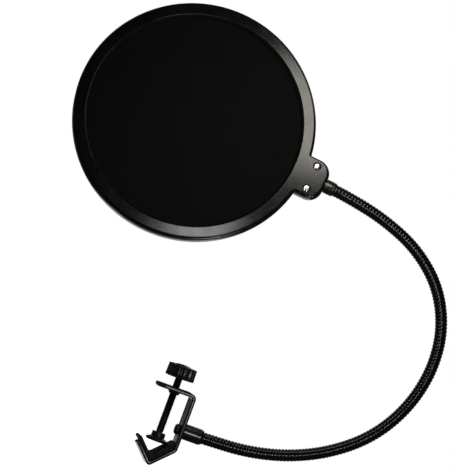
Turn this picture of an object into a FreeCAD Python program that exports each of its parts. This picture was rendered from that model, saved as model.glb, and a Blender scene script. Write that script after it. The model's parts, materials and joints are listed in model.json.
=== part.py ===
import FreeCAD, Part
import math
import os
from FreeCAD import Matrix, Placement, Rotation, Vector

# Pop filter: a round double-layer mesh screen on a gooseneck, with a screw clamp for a microphone stand.
# Millimetres. The origin is the corner of the clamp's V jaw pad, midway along its width.
# +Z runs along the clamp screw to its knob, Y runs along the clamped tube, and the neck leaves along +X.

# ---- driving dimensions: clamp bracket, one bent steel strip ----
STRIP_T = 2.45
STRIP_W = 18.0
FLANGE_TIP_X = -11.0
FLANGE_UNDER_Z = 42.4
FLANGE_CORNER_R = 6.0
BACK_IN_X = 13.0
TOP_BEND_IN_R = 1.0
LOW_BEND_IN_R = 2.2
V_IN_R = 0.8
V_OUT_R = 2.0
METAL_SHORT_LEG = 13.7

# ---- rubber pad in the V, thicker on its long leg ----
PAD_T = 3.65
PAD_SHORT_T = 2.15
PAD_SHORT_LEG = 13.6
PAD_TOP_Z = 12.1
PAD_CORNER_R = 3.0
PAD_TIP_R = 0.95

# ---- clamp screw (M5), knob and swivel foot ----
SCREW_X = 1.7
SCREW_R = 2.45
SCREW_PITCH = 0.8
RUN_FIT = 0.06
BURR_R = 4.4
BURR_TIP_R = 2.9
BURR_H = 2.0
BALL_Z = 11.9
BALL_R = 2.4
SCREW_NECK_R = 1.6
FOOT_Z = 8.6
FOOT_FLAT_R = 6.4
FOOT_R = 7.3
FOOT_RIM_Z = 9.35
FOOT_RIM_TOP_Z = 10.1
HUB_R = 4.4
HUB_FOOT_Z = 11.5
HUB_TOP_Z = 14.6
CHAMBER_H = 2.4
WASHER_UP = 1.95
KNOB_Z = 51.1
KNOB_TOP_Z = 59.2
KNOB_R = 9.5
KNOB_TOP_R = 9.25
KNOB_LOBES = 10
KNOB_GROOVE_R = 1.7
KNOB_GROOVE_DEPTH = 0.9
KNOB_TURN_DEG = -97.7
DOME_R = 5.0
DOME_H = 1.0
SCREW_TOP_Z = 57.5

# ---- neck joint on the bracket's back ----
NECK_Z = 20.3
BOLT_R = 2.0
BOLT_HEAD_R = 3.4
BOLT_HEAD_H = 2.0
WASHER_T = 0.8
LOW_FERRULE_R = 5.1
LOW_FERRULE_L = 13.4

# ---- gooseneck: an outer wedge wire wound round an inner spring, taken as twelve bends ----
WRAP_R = 4.0
WRAP_BORE_R = 2.6
SPRING_R = 2.55
SPRING_BORE_R = 1.5
CUP_GAP = 0.3
FIRST_BEND_X = 31.0
LINK_L = 28.0
BENDS_UP_DEG = [2.5, 11, 12.5, 14, 18.5, 17.5, 19, 22, 23, 18, 10.5, 5.5]
LAST_BEND_SIDE_DEG = 9.5

# ---- round screen head ----
NECK_TO_CENTRE = 110.0
SCREEN_ROLL_DEG = 12.5
HOOP_R = 77.1
REAR_STEP = 0.85
REAR_EDGE = 1.4
OPENING_R = 68.5
FACE_Z = 4.75
SPLIT_Z = 3.35
SHOULDER_R = 0.95
WALL_T = 1.6
LIP_W = 1.7
LIP_H = 1.3
MESH_T = 0.3
MESH_GAP = 2.0
SPACER_IN_R = 70.8
SPACER_OUT_R = 74.4
TAB_END = 92.0
TAB_W = 25.0
TAB_CORNER_R = 8.5
TAB_SCREW_X = 83.0
TAB_SCREW_PITCH = 16.0
TAB_SCREW_HEAD_R = 2.0
TAB_RECESS_TOP_R = 2.8
TAB_RECESS_LOW_R = 2.05
TAB_RECESS_DEPTH = 0.9
TAB_SCREW_R = 1.25
UP_FERRULE_R = 4.6
UP_FERRULE_END = 99.5
NECK_END = 87.0
ANCHOR_T = 1.5
ANCHOR_W = 20.4
ANCHOR_LOW_X = 79.4
ANCHOR_HIGH_X = 86.4
ANCHOR_PIN_R = 1.4
ANCHOR_PIN_L = 12.0
BOSS_R = 2.9

X = Vector(1, 0, 0)
Y = Vector(0, 1, 0)
Z = Vector(0, 0, 1)
nodes = {}


def cylinder(radius, base, direction, length):
    return Part.makeCylinder(radius, length, base, direction)


def tube(outer, inner, base, direction, length):
    return cylinder(outer, base, direction, length).cut(cylinder(inner, base, direction, length))


def box(low, high):
    return Part.makeBox(high.x - low.x, high.y - low.y, high.z - low.z, low)


def prism(points, base_y, width):
    """Extrude an outline in the XZ plane along +Y."""
    wire = Part.makePolygon([Vector(x, base_y, z) for x, z in points + points[:1]])
    return Part.Face(wire).extrude(Vector(0, width, 0))


def one_solid(shape):
    """Merge coplanar faces and hand back the single solid of a shape."""
    clean = shape.removeSplitter()
    assert len(clean.Solids) == 1, "a piece fell apart"
    return clean.Solids[0]


def step_along(point, heading_deg, length):
    """The XZ point reached from another along a heading, measured up from +X."""
    a = math.radians(heading_deg)
    return (point[0] + length * math.cos(a), point[1] + length * math.sin(a))


def fillet_y_edges(shape, corners):
    """Round the edges along Y that pass through given XZ corners, each with its own radius."""
    for (x, z), radius in corners:
        edges = [e for e in shape.Edges
                 if all(abs(v.X - x) < 0.02 and abs(v.Z - z) < 0.02 for v in e.Vertexes)]
        shape = shape.makeFillet(radius, edges)
    return shape


def strip_corners(layer):
    """Corners of the strip's path, a layer's thickness outside the pad's back."""
    long_off, short_off = PAD_T + layer, PAD_SHORT_T + layer
    back_x = BACK_IN_X + layer
    v = ((long_off - short_off) / math.sqrt(2), -(long_off + short_off) / math.sqrt(2))
    lower = (back_x, back_x - long_off * math.sqrt(2))
    return v, lower, back_x


def turned(outline):
    """Revolve an outline of (radius, height) corners about the clamp screw's axis."""
    corners = [Vector(SCREW_X + r, 0, z) for r, z in outline + outline[:1]]
    return Part.Face(Part.makePolygon(corners)).revolve(Vector(SCREW_X, 0, 0), Z, 360)


def on_screw(z):
    return Vector(SCREW_X, 0, z)


# ---------------------------------------------------------------- clamp
def clamp_bracket():
    inner_v, inner_low, inner_x = strip_corners(0)
    outer_v, outer_low, outer_x = strip_corners(STRIP_T)
    tip_in = step_along(inner_v, 135, METAL_SHORT_LEG)
    tip_out = step_along(outer_v, 135, METAL_SHORT_LEG + STRIP_T)
    top = FLANGE_UNDER_Z + STRIP_T
    outline = [(FLANGE_TIP_X, FLANGE_UNDER_Z), (inner_x, FLANGE_UNDER_Z), inner_low, inner_v, tip_in,
               tip_out, outer_v, outer_low, (outer_x, top), (FLANGE_TIP_X, top)]
    body = prism(outline, -STRIP_W / 2, STRIP_W)
    body = fillet_y_edges(body, [((inner_x, FLANGE_UNDER_Z), TOP_BEND_IN_R), (inner_low, LOW_BEND_IN_R),
                                 (inner_v, V_IN_R), ((outer_x, top), TOP_BEND_IN_R + STRIP_T),
                                 (outer_low, LOW_BEND_IN_R + STRIP_T), (outer_v, V_OUT_R)])
    tip_edges = [e for e in body.Edges if abs(e.CenterOfMass.x - FLANGE_TIP_X) < 0.01
                 and abs(e.CenterOfMass.z - FLANGE_UNDER_Z - STRIP_T / 2) < 0.01]
    body = body.makeFillet(FLANGE_CORNER_R, tip_edges)
    burr = turned([(0, FLANGE_UNDER_Z - BURR_H), (BURR_TIP_R, FLANGE_UNDER_Z - BURR_H),
                   (BURR_R, FLANGE_UNDER_Z), (BURR_R, FLANGE_UNDER_Z + 1), (0, FLANGE_UNDER_Z + 1)])
    body = body.fuse(burr).cut(cylinder(SCREW_R + RUN_FIT, on_screw(30), Z, 20))
    body = body.cut(cylinder(BOLT_R + RUN_FIT, Vector(BACK_IN_X - 3, 0, NECK_Z), X, 8))
    return one_solid(body)


def jaw_pad():
    v_in = (0.0, 0.0)
    v_out, lower, back_x = strip_corners(0)
    tip_in = step_along(v_in, 135, PAD_SHORT_LEG)
    tip_out = step_along(v_out, 135, PAD_SHORT_LEG + PAD_T)
    outline = [v_in, (PAD_TOP_Z, PAD_TOP_Z), (back_x, PAD_TOP_Z), lower, v_out, tip_out, tip_in]
    body = prism(outline, -STRIP_W / 2, STRIP_W)
    return one_solid(fillet_y_edges(body, [(v_in, PAD_CORNER_R), (lower, LOW_BEND_IN_R),
                                           (v_out, V_IN_R), (tip_out, PAD_TIP_R), (tip_in, PAD_TIP_R)]))


def clamp_screw():
    shaft_z = HUB_TOP_Z + 0.3
    neck = cylinder(SCREW_NECK_R, on_screw(BALL_Z), Z, shaft_z - BALL_Z + 0.5)
    shaft = cylinder(SCREW_R, on_screw(shaft_z), Z, SCREW_TOP_Z - shaft_z)
    return one_solid(Part.makeSphere(BALL_R, on_screw(BALL_Z)).fuse(neck).fuse(shaft))


def foot_retaining_washer():
    return tube(2.5, SCREW_NECK_R + RUN_FIT, on_screw(BALL_Z + WASHER_UP), Z, 0.25)


def swivel_foot():
    body = turned([(0, FOOT_Z), (FOOT_FLAT_R, FOOT_Z), (FOOT_R, FOOT_RIM_Z), (FOOT_R, FOOT_RIM_TOP_Z),
                   (HUB_R, HUB_FOOT_Z), (HUB_R, HUB_TOP_Z - 0.5), (HUB_R - 0.5, HUB_TOP_Z),
                   (0, HUB_TOP_Z)])
    socket_r = BALL_R + 0.3
    chamber = cylinder(socket_r + 0.1, on_screw(BALL_Z), Z, CHAMBER_H)
    mouth = cylinder(SCREW_NECK_R + 0.6, on_screw(BALL_Z), Z, 5)
    socket = Part.makeSphere(socket_r, on_screw(BALL_Z))
    return one_solid(body.cut(socket).cut(chamber).cut(mouth))


def knob():
    body = turned([(0, KNOB_Z), (KNOB_R - 0.5, KNOB_Z), (KNOB_R, KNOB_Z + 0.5),
                   (KNOB_TOP_R, KNOB_TOP_Z - 0.5), (KNOB_TOP_R - 0.5, KNOB_TOP_Z), (DOME_R, KNOB_TOP_Z),
                   (DOME_R - 1.2, KNOB_TOP_Z + DOME_H), (0, KNOB_TOP_Z + DOME_H)])
    reach = KNOB_R + KNOB_GROOVE_R - KNOB_GROOVE_DEPTH
    for i in range(KNOB_LOBES):
        a = math.radians(KNOB_TURN_DEG + 360 * i / KNOB_LOBES)
        centre = Vector(SCREW_X + reach * math.cos(a), reach * math.sin(a), KNOB_Z - 1)
        body = body.cut(cylinder(KNOB_GROOVE_R, centre, Z, KNOB_TOP_Z - KNOB_Z + 2))
    return one_solid(body.cut(cylinder(SCREW_R, on_screw(KNOB_Z - 3), Z, SCREW_TOP_Z - KNOB_Z + 3)))


# ---------------------------------------------------------------- neck joint
def neck_bolt():
    head_x = BACK_IN_X - WASHER_T - BOLT_HEAD_H
    head = cylinder(BOLT_HEAD_R, Vector(head_x, 0, NECK_Z), X, BOLT_HEAD_H)
    head = head.makeFillet(0.7, [e for e in head.Edges if abs(e.CenterOfMass.x - head_x) < 0.01])
    recess = box(Vector(head_x - 1, -2.0, NECK_Z - 0.45), Vector(head_x + 0.9, 2.0, NECK_Z + 0.45))
    recess = recess.fuse(box(Vector(head_x - 1, -0.45, NECK_Z - 2.0),
                             Vector(head_x + 0.9, 0.45, NECK_Z + 2.0)))
    shank = cylinder(BOLT_R, Vector(head_x + 1, 0, NECK_Z), X, BACK_IN_X + STRIP_T + 4.5 - head_x - 1)
    return one_solid(head.fuse(shank).cut(recess))


def neck_spring_washer():
    ring = tube(BOLT_HEAD_R, BOLT_R + 0.1, Vector(BACK_IN_X - WASHER_T, 0, NECK_Z), X, WASHER_T - 0.05)
    split = box(Vector(BACK_IN_X - 2, -0.3, NECK_Z), Vector(BACK_IN_X + 2, 0.3, NECK_Z + 6))
    return one_solid(ring.cut(split))


def lower_ferrule():
    start = BACK_IN_X + STRIP_T + 0.05
    body = cylinder(LOW_FERRULE_R, Vector(start, 0, NECK_Z), X, LOW_FERRULE_L)
    body = body.makeChamfer(0.5, [e for e in body.Edges if e.Length > 30 and e.isClosed()])
    body = body.cut(cylinder(BOLT_R, Vector(start - 1, 0, NECK_Z), X, LOW_FERRULE_L + 2))
    return one_solid(body.cut(cylinder(WRAP_R, Vector(start + 5, 0, NECK_Z), X, LOW_FERRULE_L)))


# ---------------------------------------------------------------- gooseneck
def neck_path():
    """Bend points and the direction of the run after each bend, from the clamp to the screen."""
    points, directions = [Vector(FIRST_BEND_X, 0, NECK_Z)], []
    heading = 0.0
    for bend in BENDS_UP_DEG:
        heading += bend
        a = math.radians(heading)
        directions.append(Vector(math.cos(a), 0, math.sin(a)))
        points.append(points[-1] + directions[-1] * LINK_L)
    up = directions[-1].cross(Y)
    directions[-1] = Rotation(up, LAST_BEND_SIDE_DEG).multVec(directions[-1])
    return points[:-1], directions


def neck_run(outer, inner, base, direction, start, end, cup, ball):
    """A hollow run on an axis, with a spherical hollow at its start or a ball at its end where it bends."""
    def cup_x(radius):
        return math.sqrt((WRAP_R + CUP_GAP) ** 2 - radius ** 2) if cup else start

    def ball_x(radius):
        return end + (math.sqrt(WRAP_R ** 2 - radius ** 2) if ball else 0)

    mid = (outer + inner) / 2
    corners = [Vector(cup_x(inner), 0, inner), Vector(cup_x(outer), 0, outer),
               Vector(ball_x(outer), 0, outer), Vector(ball_x(inner), 0, inner)]
    rise = Part.LineSegment(corners[0], corners[1])
    if cup:
        rise = Part.Arc(corners[0], Vector(cup_x(mid), 0, mid), corners[1])
    fall = Part.LineSegment(corners[2], corners[3])
    if ball:
        fall = Part.Arc(corners[2], Vector(ball_x(mid), 0, mid), corners[3])
    edges = [rise, Part.LineSegment(corners[1], corners[2]), fall,
             Part.LineSegment(corners[3], corners[0])]
    face = Part.Face(Part.Wire([e.toShape() for e in edges]))
    solid = face.revolve(Vector(0, 0, 0), X, 360)
    solid.Placement = Placement(base, Rotation(X, direction))
    return solid


def neck_pieces():
    points, directions = neck_path()
    base = Vector(0, 0, NECK_Z)
    start = BACK_IN_X + STRIP_T + 5.05
    nodes["neck_wrap_00"] = neck_run(WRAP_R, WRAP_BORE_R, base, X, start, FIRST_BEND_X, False, True)
    nodes["neck_spring_00"] = neck_run(SPRING_R, SPRING_BORE_R, base, X, start, FIRST_BEND_X + 2.8,
                                       False, False)
    for i, (point, direction) in enumerate(zip(points, directions), 1):
        last = i == len(points)
        end = NECK_TO_CENTRE - NECK_END if last else LINK_L
        name = f"{i:02d}"
        nodes["neck_wrap_" + name] = neck_run(WRAP_R, WRAP_BORE_R, point, direction, 0, end, True, not last)
        core_end = end if last else end + 2.8
        nodes["neck_spring_" + name] = neck_run(SPRING_R, SPRING_BORE_R, point, direction,
                                                WRAP_R + 0.6, core_end, False, False)


# ---------------------------------------------------------------- screen head, in its own frame:
# +X from the screen's centre to the neck, +Z out of its front face
def ring_section(outline):
    """Revolve an outline of (radius, height) corners about the screen's axis."""
    wire = Part.makePolygon([Vector(r, 0, z) for r, z in outline + outline[:1]])
    return Part.Face(wire).revolve(Vector(0, 0, 0), Z, 360)


def tab_block(margin, low, high, start):
    """The neck's tab as a block with two round corners, shrunk by a margin all round."""
    half, end, r = TAB_W / 2 - margin, TAB_END - margin, TAB_CORNER_R - margin
    block = box(Vector(start, -half, low), Vector(end, half, high))
    edges = [e for e in block.Edges if abs(e.CenterOfMass.x - end) < 0.01 and e.Length < high - low + 0.01
             and abs(e.CenterOfMass.z - (low + high) / 2) < 0.01]
    return block.makeFillet(r, edges)


def at_tab_screws(radius, low, high):
    holes = [cylinder(radius, Vector(TAB_SCREW_X, s * TAB_SCREW_PITCH / 2, low), Z, high - low)
             for s in (-1, 1)]
    return holes[0].fuse(holes[1])


def neck_channel():
    return cylinder(WRAP_R + 0.05, Vector(NECK_END - 0.2, 0, 0), X, 30)


def front_hoop():
    seat_z = MESH_GAP / 2 + MESH_T
    ring = ring_section([(OPENING_R, seat_z), (OPENING_R + 1.8, seat_z),
                         (OPENING_R + 1.8, SPLIT_Z), (HOOP_R, SPLIT_Z), (HOOP_R, FACE_Z - SHOULDER_R),
                         (HOOP_R - SHOULDER_R, FACE_Z), (OPENING_R + LIP_W, FACE_Z),
                         (OPENING_R + 0.45, FACE_Z - 0.45), (OPENING_R, FACE_Z - LIP_H)])
    tab = tab_block(0, SPLIT_Z, FACE_Z, HOOP_R - 6)
    face_edges = [e for e in tab.Edges if abs(e.CenterOfMass.z - FACE_Z) < 0.01
                  and e.CenterOfMass.x > HOOP_R - 5]
    tab = tab.makeChamfer(0.6, face_edges)
    rim_r = HOOP_R + REAR_STEP - WALL_T - 0.1
    rim = ring_section([(rim_r - 1.1, seat_z), (rim_r, seat_z), (rim_r, SPLIT_Z), (rim_r - 1.1, SPLIT_Z)])
    gap = box(Vector(HOOP_R - 8, -TAB_W / 2 - 1, -FACE_Z), Vector(TAB_END, TAB_W / 2 + 1, SPLIT_Z))
    bosses = at_tab_screws(BOSS_R, ANCHOR_T / 2, SPLIT_Z)
    body = ring.fuse(rim.cut(gap)).fuse(tab).fuse(bosses)
    body = body.cut(at_tab_screws(TAB_SCREW_R + 0.1, -FACE_Z, FACE_Z + 1))
    for s in (-1, 1):
        foot = Vector(TAB_SCREW_X, s * TAB_SCREW_PITCH / 2, FACE_Z - TAB_RECESS_DEPTH)
        body = body.cut(Part.makeCone(TAB_RECESS_LOW_R, TAB_RECESS_TOP_R, TAB_RECESS_DEPTH, foot, Z))
    return one_solid(body.cut(neck_channel()))


def rear_hoop():
    seat_z = -MESH_GAP / 2 - MESH_T
    floor_z = -FACE_Z + WALL_T
    outer_r = HOOP_R + REAR_STEP
    ring = ring_section([(OPENING_R, -FACE_Z), (outer_r - REAR_EDGE, -FACE_Z), (outer_r, -FACE_Z + REAR_EDGE),
                         (outer_r, SPLIT_Z), (outer_r - WALL_T, SPLIT_Z), (outer_r - WALL_T, floor_z),
                         (SPACER_OUT_R, floor_z), (SPACER_OUT_R, seat_z), (OPENING_R, seat_z)])
    tab = tab_block(-REAR_STEP, -FACE_Z, SPLIT_Z, HOOP_R - 6)
    hollow = tab_block(WALL_T - REAR_STEP, floor_z, SPLIT_Z, HOOP_R - 0.5)
    bosses = at_tab_screws(BOSS_R, floor_z, -ANCHOR_T / 2)
    outside = cylinder(outer_r - WALL_T, Vector(0, 0, floor_z), Z, FACE_Z * 2)
    tab = tab.cut(outside).cut(hollow).fuse(bosses)
    body = ring.fuse(tab)
    body = body.cut(at_tab_screws(TAB_SCREW_R, floor_z, FACE_Z))
    return one_solid(body.cut(neck_channel()))


def mesh_disc(low):
    return cylinder(SPACER_OUT_R - 0.4, Vector(0, 0, low), Z, MESH_T)


def mesh_spacer():
    half = MESH_GAP / 2
    return ring_section([(SPACER_IN_R, -half), (SPACER_OUT_R - 0.4, -half),
                         (SPACER_OUT_R - 0.4, half), (SPACER_IN_R, half)])


def upper_ferrule():
    """A short sleeve crimped on the neck where it enters the tab."""
    start = TAB_END + REAR_STEP + 0.1
    body = tube(UP_FERRULE_R, WRAP_R, Vector(start, 0, 0), X, UP_FERRULE_END - start)
    return body.makeChamfer(0.3, [e for e in body.Edges if abs(e.CenterOfMass.x - UP_FERRULE_END) < 0.01
                                  and e.Length > 27])


def neck_anchor():
    """A steel plate with a pin in the neck's bore, clamped by the tab's two screws."""
    plate = box(Vector(ANCHOR_LOW_X, -ANCHOR_W / 2, -ANCHOR_T / 2),
                Vector(ANCHOR_HIGH_X, ANCHOR_W / 2, ANCHOR_T / 2))
    pin = cylinder(ANCHOR_PIN_R, Vector(ANCHOR_HIGH_X - 2, 0, 0), X, ANCHOR_PIN_L)
    return one_solid(plate.fuse(pin).cut(at_tab_screws(TAB_SCREW_R + 0.1, -5, 5)))


def tab_screws():
    """Two cross-recessed screws, as one group of separate solids."""
    group = []
    for s in (-1, 1):
        foot = Vector(TAB_SCREW_X, s * TAB_SCREW_PITCH / 2, -FACE_Z + WALL_T + 0.4)
        head_z = FACE_Z - 0.9
        shank = cylinder(TAB_SCREW_R, foot, Z, head_z - foot.z)
        head = cylinder(TAB_SCREW_HEAD_R, Vector(foot.x, foot.y, head_z), Z, 1.0)
        head = head.makeFillet(0.4, [e for e in head.Edges
                                     if abs(e.CenterOfMass.z - head_z - 1.0) < 0.01])
        for size in (Vector(2.2, 0.5, 0), Vector(0.5, 2.2, 0)):
            low = Vector(foot.x - size.x / 2, foot.y - size.y / 2, head_z + 0.4)
            head = head.cut(box(low, low + size + Vector(0, 0, 2)))
        group.append(one_solid(shank.fuse(head)))
    return Part.makeCompound(group)


def head_placement():
    """The screen lies across the last run of the neck, turned about it by the screen's roll."""
    points, directions = neck_path()
    run = directions[-1]
    level = (Y * -1 + run * run.dot(Y)).normalize()
    front = Rotation(run, SCREEN_ROLL_DEG).multVec(level)
    out = run * -1
    across = front.cross(out)
    frame = Matrix(out.x, across.x, front.x, 0, out.y, across.y, front.y, 0,
                   out.z, across.z, front.z, 0, 0, 0, 0, 1)
    return Placement(points[-1] + run * NECK_TO_CENTRE, Placement(frame).Rotation)


def build():
    nodes["clamp_bracket"] = clamp_bracket()
    nodes["jaw_pad"] = jaw_pad()
    nodes["clamp_screw"] = clamp_screw()
    nodes["foot_retaining_washer"] = foot_retaining_washer()
    nodes["swivel_foot"] = swivel_foot()
    nodes["knob"] = knob()
    nodes["neck_bolt"] = neck_bolt()
    nodes["neck_spring_washer"] = neck_spring_washer()
    nodes["lower_ferrule"] = lower_ferrule()
    neck_pieces()
    head = {"front_hoop": front_hoop(), "rear_hoop": rear_hoop(),
            "front_mesh": mesh_disc(MESH_GAP / 2), "rear_mesh": mesh_disc(-MESH_GAP / 2 - MESH_T),
            "mesh_spacer": mesh_spacer(), "upper_ferrule": upper_ferrule(), "neck_anchor": neck_anchor(),
            "tab_screws": tab_screws()}
    place = head_placement()
    for name, shape in head.items():
        shape.Placement = place.multiply(shape.Placement)
        nodes[name] = shape


build()
os.makedirs("parts", exist_ok=True)
for name, shape in nodes.items():
    assert shape.isValid(), name
    shape.exportStep(f"parts/{name}.step")
print(len(nodes), "nodes")
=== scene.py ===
import json
import math

import bmesh
import bpy
import numpy as np
from mathutils import Matrix, Vector

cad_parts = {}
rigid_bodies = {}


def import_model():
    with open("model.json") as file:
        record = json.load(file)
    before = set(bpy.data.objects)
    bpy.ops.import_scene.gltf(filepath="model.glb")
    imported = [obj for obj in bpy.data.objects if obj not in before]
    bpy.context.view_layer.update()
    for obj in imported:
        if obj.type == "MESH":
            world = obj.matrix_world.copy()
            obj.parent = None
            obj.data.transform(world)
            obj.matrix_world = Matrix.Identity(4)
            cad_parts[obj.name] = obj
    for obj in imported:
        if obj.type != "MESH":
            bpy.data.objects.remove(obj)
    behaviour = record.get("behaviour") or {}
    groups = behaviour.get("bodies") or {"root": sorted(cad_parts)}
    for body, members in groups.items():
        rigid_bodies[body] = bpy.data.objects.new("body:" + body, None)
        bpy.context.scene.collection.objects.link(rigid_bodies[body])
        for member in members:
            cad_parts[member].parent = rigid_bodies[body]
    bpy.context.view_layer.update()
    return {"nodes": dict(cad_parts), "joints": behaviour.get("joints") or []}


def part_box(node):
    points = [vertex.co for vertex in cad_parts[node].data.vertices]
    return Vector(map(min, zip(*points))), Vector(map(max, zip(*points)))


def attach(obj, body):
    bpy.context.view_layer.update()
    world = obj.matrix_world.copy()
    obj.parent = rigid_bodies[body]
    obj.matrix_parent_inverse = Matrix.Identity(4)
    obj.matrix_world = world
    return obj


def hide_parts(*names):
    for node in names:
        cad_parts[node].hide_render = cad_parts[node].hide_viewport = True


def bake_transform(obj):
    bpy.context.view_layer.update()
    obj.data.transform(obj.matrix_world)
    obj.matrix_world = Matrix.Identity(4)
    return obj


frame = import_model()

# A pop filter: every size below is in metres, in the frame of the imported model.
# The clamp's V jaw has its corner at the origin, +Z runs up the clamp screw, and the neck leaves along +X.
MM = 0.001

# gooseneck
COIL_PITCH = 2.25 * MM
COIL_CORE_R = 3.68 * MM
COIL_WIRE_RISE = 0.32 * MM
COIL_WIRE_SHARE = 0.64
COIL_BORE_R = 2.75 * MM
COIL_STEPS = 12
COIL_SIDES = 48
SPRING_PITCH = 1.25 * MM
SPRING_R = 1.95 * MM
SPRING_WIRE_R = 0.45 * MM
SPRING_STEPS = 14
SPRING_SIDES = 6
BEND_REACH = 10.0 * MM

# screen head, measured from the centre of its two meshes
HOOP_R = 77.1 * MM
REAR_STEP = 0.85 * MM
REAR_EDGE = 1.4 * MM
OPENING_R = 68.5 * MM
FACE_H = 4.75 * MM
SPLIT_H = 3.35 * MM
MESH_SEAT_H = 1.3 * MM
SHOULDER = 1.05 * MM
LIP_W = 1.6 * MM
LIP_H = 1.3 * MM
LIP_ROLL = 0.35 * MM
WALL = 1.6 * MM
SPACER_R = 74.0 * MM
TAB_END = 92.0 * MM
NECK_END = 87.0 * MM
SLEEVE_END = 99.5 * MM
TAB_HALF_W = 12.5 * MM
TAB_CORNER_R = 8.5 * MM
TAB_NOTCH_R = 0.7 * MM
TAB_SCREW_X = 83.0 * MM
TAB_SCREW_HALF_PITCH = 8.0 * MM
TAB_RECESS_LOW_R = 2.05 * MM
TAB_RECESS_TOP_R = 2.8 * MM
TAB_RECESS_DEPTH = 0.9 * MM

# clamp
STRIP_T = 2.45 * MM
STRIP_HALF_W = 9.0 * MM
FLANGE_TIP_X = -11.0 * MM
FLANGE_UNDER_Z = 42.4 * MM
FLANGE_CORNER_R = 6.0 * MM
BACK_X = 13.0 * MM
TOP_BEND_R = 1.0 * MM
LOW_BEND_R = 2.2 * MM
V_IN_R = 0.8 * MM
V_OUT_R = 2.0 * MM
METAL_SHORT_LEG = 13.7 * MM
PAD_T = 3.65 * MM
PAD_SHORT_T = 2.15 * MM
PAD_SHORT_LEG = 13.6 * MM
PAD_TOP_Z = 12.1 * MM
PAD_CORNER_R = 3.0 * MM
SCREW_X = 1.7 * MM
SCREW_R = 2.45 * MM
SCREW_PITCH = 0.8 * MM
BALL_Z = 11.9 * MM
BALL_R = 2.4 * MM
HUB_TOP_Z = 14.6 * MM
NECK_Z = 20.3 * MM

# light, as a share of paper white
WORLD_DIM = 0.006
FLOOR_GLOW = 0.02
FACE_LIGHT_TURN = math.radians(6)


# ---------------------------------------------------------------- mesh helpers
def mesh_object(name, verts, faces, smooth_deg=35):
    """A mesh from points and faces, with its normals facing out and its sharp edges kept."""
    mesh = bpy.data.meshes.new(name)
    mesh.from_pydata([tuple(v) for v in verts], [], faces)
    edit = bmesh.new()
    edit.from_mesh(mesh)
    bmesh.ops.remove_doubles(edit, verts=edit.verts, dist=1e-7)
    bmesh.ops.recalc_face_normals(edit, faces=edit.faces)
    edit.to_mesh(mesh)
    edit.free()
    mesh.update()
    obj = bpy.data.objects.new(name, mesh)
    bpy.context.scene.collection.objects.link(obj)
    smooth(obj, smooth_deg)
    return obj


def smooth(obj, degrees):
    mesh = obj.data
    mesh.polygons.foreach_set("use_smooth", [True] * len(mesh.polygons))
    mesh.set_sharp_from_angle(angle=math.radians(degrees))


def grid_faces(rows, cols, wrap_rows, wrap_cols):
    """Quads over a grid of points stored row by row."""
    faces = []
    for i in range(rows if wrap_rows else rows - 1):
        for j in range(cols if wrap_cols else cols - 1):
            a, b = i * cols + j, i * cols + (j + 1) % cols
            c, d = ((i + 1) % rows) * cols + (j + 1) % cols, ((i + 1) % rows) * cols + j
            faces.append((a, b, c, d))
    return faces


def rounded(corners, steps=5):
    """A closed outline with its corners rounded: each corner is (u, v, radius)."""
    out = []
    count = len(corners)
    for i, (u, v, radius) in enumerate(corners):
        here = Vector((u, v))
        before = (Vector(corners[i - 1][:2]) - here).normalized()
        after = (Vector(corners[(i + 1) % count][:2]) - here).normalized()
        if radius <= 0:
            out.append((u, v))
            continue
        half = before.angle(after) / 2
        reach = radius / math.tan(half)
        start, end = here + before * reach, here + after * reach
        centre = here + (before + after).normalized() * (radius / math.sin(half))
        a, b = start - centre, end - centre
        turn = a.angle_signed(b)
        for k in range(steps + 1):
            c, s = math.cos(-turn * k / steps), math.sin(-turn * k / steps)
            out.append((centre.x + a.x * c - a.y * s, centre.y + a.x * s + a.y * c))
    return out


def place(obj, origin, x_axis, z_axis):
    """Move a mesh built about its own axes to a place in the row frame."""
    z = Vector(z_axis).normalized()
    x = (Vector(x_axis) - z * Vector(x_axis).dot(z)).normalized()
    y = z.cross(x)
    matrix = Matrix((x, y, z)).transposed().to_4x4()
    matrix.translation = Vector(origin)
    obj.data.transform(matrix)
    obj.data.update()
    return obj


def lathe(name, profile, segments=96, smooth_deg=35):
    """Turn a closed outline of (radius, height) about the Z axis. Points on the axis close to a pole."""
    rows = [(r * math.cos(a), r * math.sin(a), h)
            for a in (2 * math.pi * i / segments for i in range(segments)) for r, h in profile]
    return mesh_object(name, rows, grid_faces(segments, len(profile), True, True), smooth_deg)


def boolean(obj, cutter, operation="DIFFERENCE"):
    modifier = obj.modifiers.new("cut", "BOOLEAN")
    modifier.operation = operation
    modifier.solver = "EXACT"
    modifier.object = cutter
    apply_modifiers(obj)
    bpy.data.objects.remove(cutter)
    return obj


def apply_modifiers(obj):
    bpy.context.view_layer.update()
    depsgraph = bpy.context.evaluated_depsgraph_get()
    mesh = bpy.data.meshes.new_from_object(obj.evaluated_get(depsgraph))
    obj.modifiers.clear()
    obj.data = mesh


def drill(name, radius, start, direction, length, segments=48):
    """A plain cylinder, used only to cut a hole."""
    profile = [(0, 0), (radius, 0), (radius, length), (0, length)]
    side = Vector((0, 0, 1)) if abs(Vector(direction).z) < 0.9 else Vector((1, 0, 0))
    return place(lathe(name, profile, segments), start, side, direction)


def join(name, *objects):
    """One mesh from several that belong to one piece."""
    edit = bmesh.new()
    for obj in objects:
        edit.from_mesh(obj.data)
    mesh = bpy.data.meshes.new(name)
    edit.to_mesh(mesh)
    edit.free()
    for obj in objects:
        bpy.data.objects.remove(obj)
    out = bpy.data.objects.new(name, mesh)
    bpy.context.scene.collection.objects.link(out)
    smooth(out, 35)
    return out


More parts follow.
